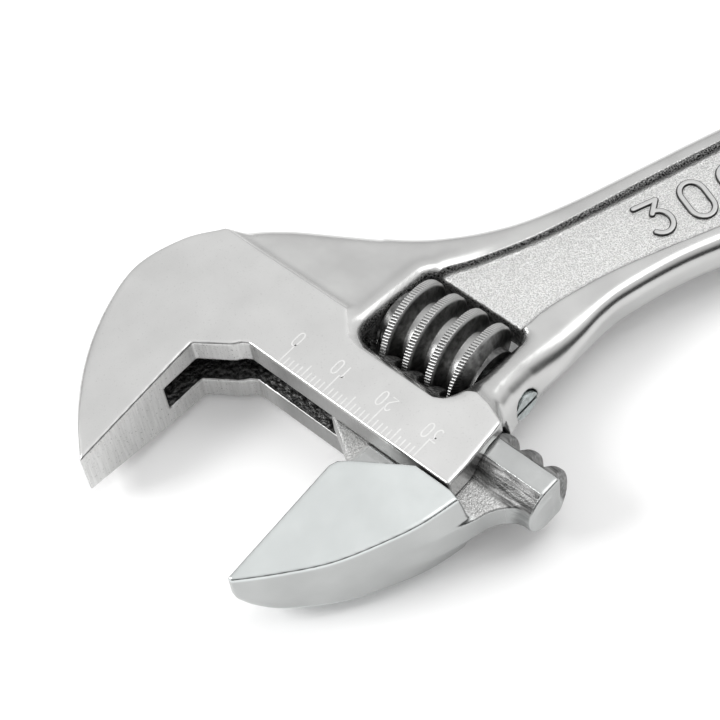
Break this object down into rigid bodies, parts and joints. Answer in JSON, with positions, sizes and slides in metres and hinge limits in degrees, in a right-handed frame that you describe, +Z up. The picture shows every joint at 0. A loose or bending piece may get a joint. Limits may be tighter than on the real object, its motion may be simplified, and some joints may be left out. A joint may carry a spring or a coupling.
{
  "type": "adjustable wrench",
  "caption": "Forged adjustable wrench with an angled head, a sliding lower jaw driven by a knurled worm, and an I-section handle with a hanging eye.",
  "frame": {"origin": "on the flat underside of the head, on the handle's centre line, between the neck's front face and the worm window", "axes": "+X along the handle, away from the jaws; +Z up, square to the flat faces of the head; the jaws open towards -X and the movable jaw is on the -Y side"},
  "size_m": [0.3, 0.0766, 0.0188],
  "materials": {
    "body_chrome": "satin chrome plate on ground and blasted forged steel",
    "jaw_chrome": "satin chrome plate on ground steel",
    "worm_steel": "dark turned steel with a knurled crest",
    "pin_zinc": "zinc-plated steel",
    "spring_steel": "drawn spring wire"
  },
  "bodies": {
    "frame": {"wrench_body": "body_chrome", "worm_pin": "pin_zinc", "worm_spring": "spring_steel"},
    "jaw": {"movable_jaw": "jaw_chrome"},
    "worm": {"worm": "worm_steel"}
  },
  "joints": [
    {"name": "jaw_slide", "type": "slide", "parent": "frame", "child": "jaw", "axis": [0.3827, -0.9239, 0], "range_m": [-0.0343, 0.0015]},
    {"name": "worm_spin", "type": "hinge", "parent": "frame", "child": "worm", "pos_m": [0.02019, -0.00454, 0.00835], "axis": [0.3827, -0.9239, 0], "range_deg": [-110, 2472]}
  ],
  "couplings": [
    {"joint": "worm_spin", "follows": "jaw_slide", "rad_per_m": -1256.6}
  ]
}
